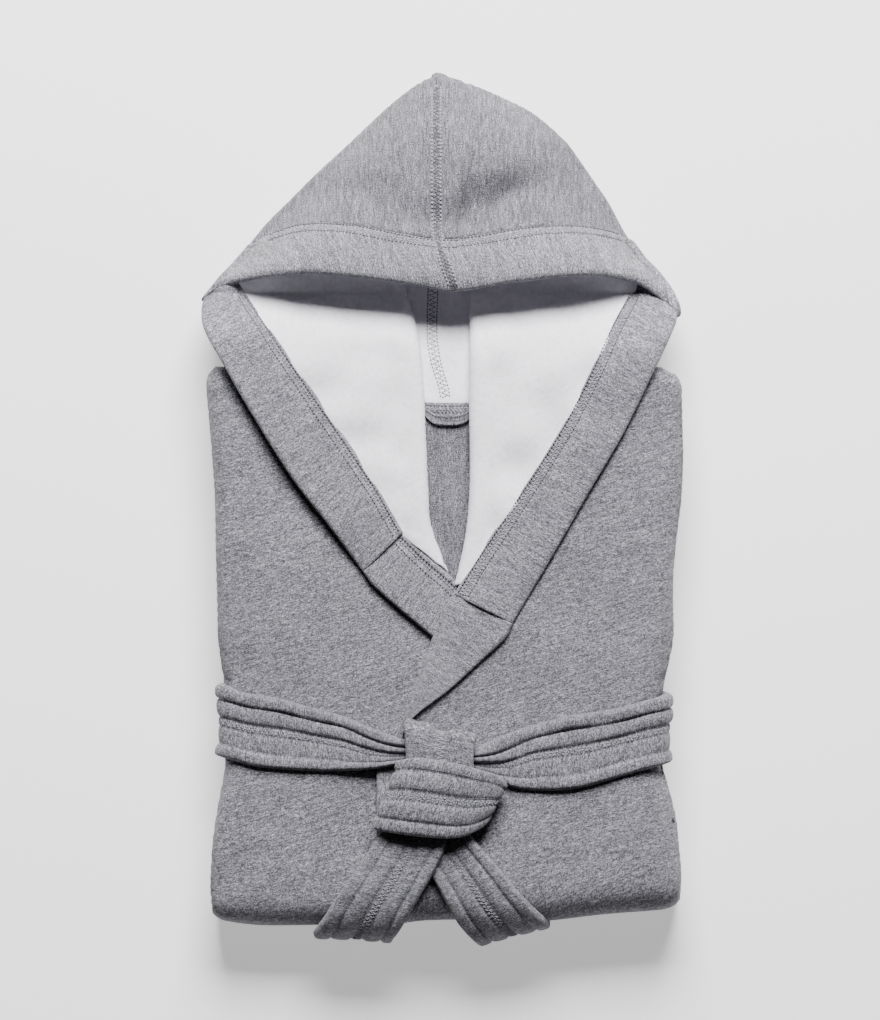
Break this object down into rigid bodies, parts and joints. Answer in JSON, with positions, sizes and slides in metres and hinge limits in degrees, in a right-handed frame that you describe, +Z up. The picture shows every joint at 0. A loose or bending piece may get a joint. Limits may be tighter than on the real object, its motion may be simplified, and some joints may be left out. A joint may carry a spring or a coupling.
{
  "type": "hooded bathrobe",
  "caption": "Folded hooded bathrobe in grey fleece with a white lining, tied with its own knotted belt, with a hood that folds over.",
  "frame": {"origin": "on the table, under the middle of the folded robe's bounding box", "axes": "+Y towards the tip of the hood, +Z up from the table, +X to the right seen from above"},
  "size_m": [0.336, 0.61, 0.084],
  "materials": {
    "outer_cloth": "heather grey sweatshirt fleece, matt",
    "band_cloth": "heather grey sweatshirt fleece, doubled, matt",
    "belt_cloth": "heather grey sweatshirt fleece, stitched flat, matt",
    "white_lining": "white brushed fleece, matt",
    "neck_facing": "grey ribbed knit, matt",
    "neck_tape": "grey woven tape, matt",
    "seam_thread": "grey sewing thread, matt"
  },
  "bodies": {
    "robe": {"skirt_lower_layer": "outer_cloth", "skirt_upper_layer": "outer_cloth", "hem_band": "band_cloth", "left_sleeve": "outer_cloth", "right_sleeve": "outer_cloth", "left_cuff": "band_cloth", "right_cuff": "band_cloth", "left_side_fold": "outer_cloth", "right_side_fold": "outer_cloth", "back_panel": "outer_cloth", "back_neck_facing": "neck_facing", "neck_tape": "neck_tape", "hood_neck_lining": "white_lining", "left_front_panel": "outer_cloth", "right_front_panel": "outer_cloth", "front_edge_band": "band_cloth", "left_lapel": "band_cloth", "right_lapel": "band_cloth", "left_collar_band": "band_cloth", "right_collar_band": "band_cloth", "left_collar_lining": "white_lining", "right_collar_lining": "white_lining", "belt_loop_left": "belt_cloth", "belt_loop_right": "belt_cloth", "belt_back_run": "belt_cloth", "belt_left_side": "belt_cloth", "belt_right_side": "belt_cloth", "belt_left_run": "belt_cloth", "belt_right_run": "belt_cloth", "knot_loop": "belt_cloth", "knot_wrap": "belt_cloth", "knot_core": "belt_cloth", "hanger_loop": "neck_tape"},
    "hood": {"hood_back_panel": "outer_cloth", "hood_back_lining": "white_lining", "hood_left_band": "band_cloth", "hood_right_band": "band_cloth", "hood_left_lining": "white_lining", "hood_right_lining": "white_lining", "crown_left_panel": "outer_cloth", "crown_right_panel": "outer_cloth", "crown_left_lining": "white_lining", "crown_right_lining": "white_lining", "brim_left_band": "band_cloth", "brim_right_band": "band_cloth", "crown_seam_tape": "seam_thread"},
    "left_tail": {"belt_left_tail": "belt_cloth", "belt_left_tail_end": "belt_cloth"},
    "right_tail": {"belt_right_tail": "belt_cloth", "belt_right_tail_end": "belt_cloth"}
  },
  "joints": [
    {"name": "hood_fold", "type": "hinge", "parent": "robe", "child": "hood", "pos_m": [0, 0.102, 0.0705], "axis": [1, 0, 0], "range_deg": [0, 150]},
    {"name": "left_tail_lift", "type": "hinge", "parent": "robe", "child": "left_tail", "pos_m": [-0.024, -0.232, 0.0675], "axis": [-0.9864, 0.1644, 0], "range_deg": [0, 70]},
    {"name": "right_tail_lift", "type": "hinge", "parent": "robe", "child": "right_tail", "pos_m": [0.014, -0.236, 0.0675], "axis": [-0.8025, -0.5966, 0], "range_deg": [0, 70]}
  ]
}
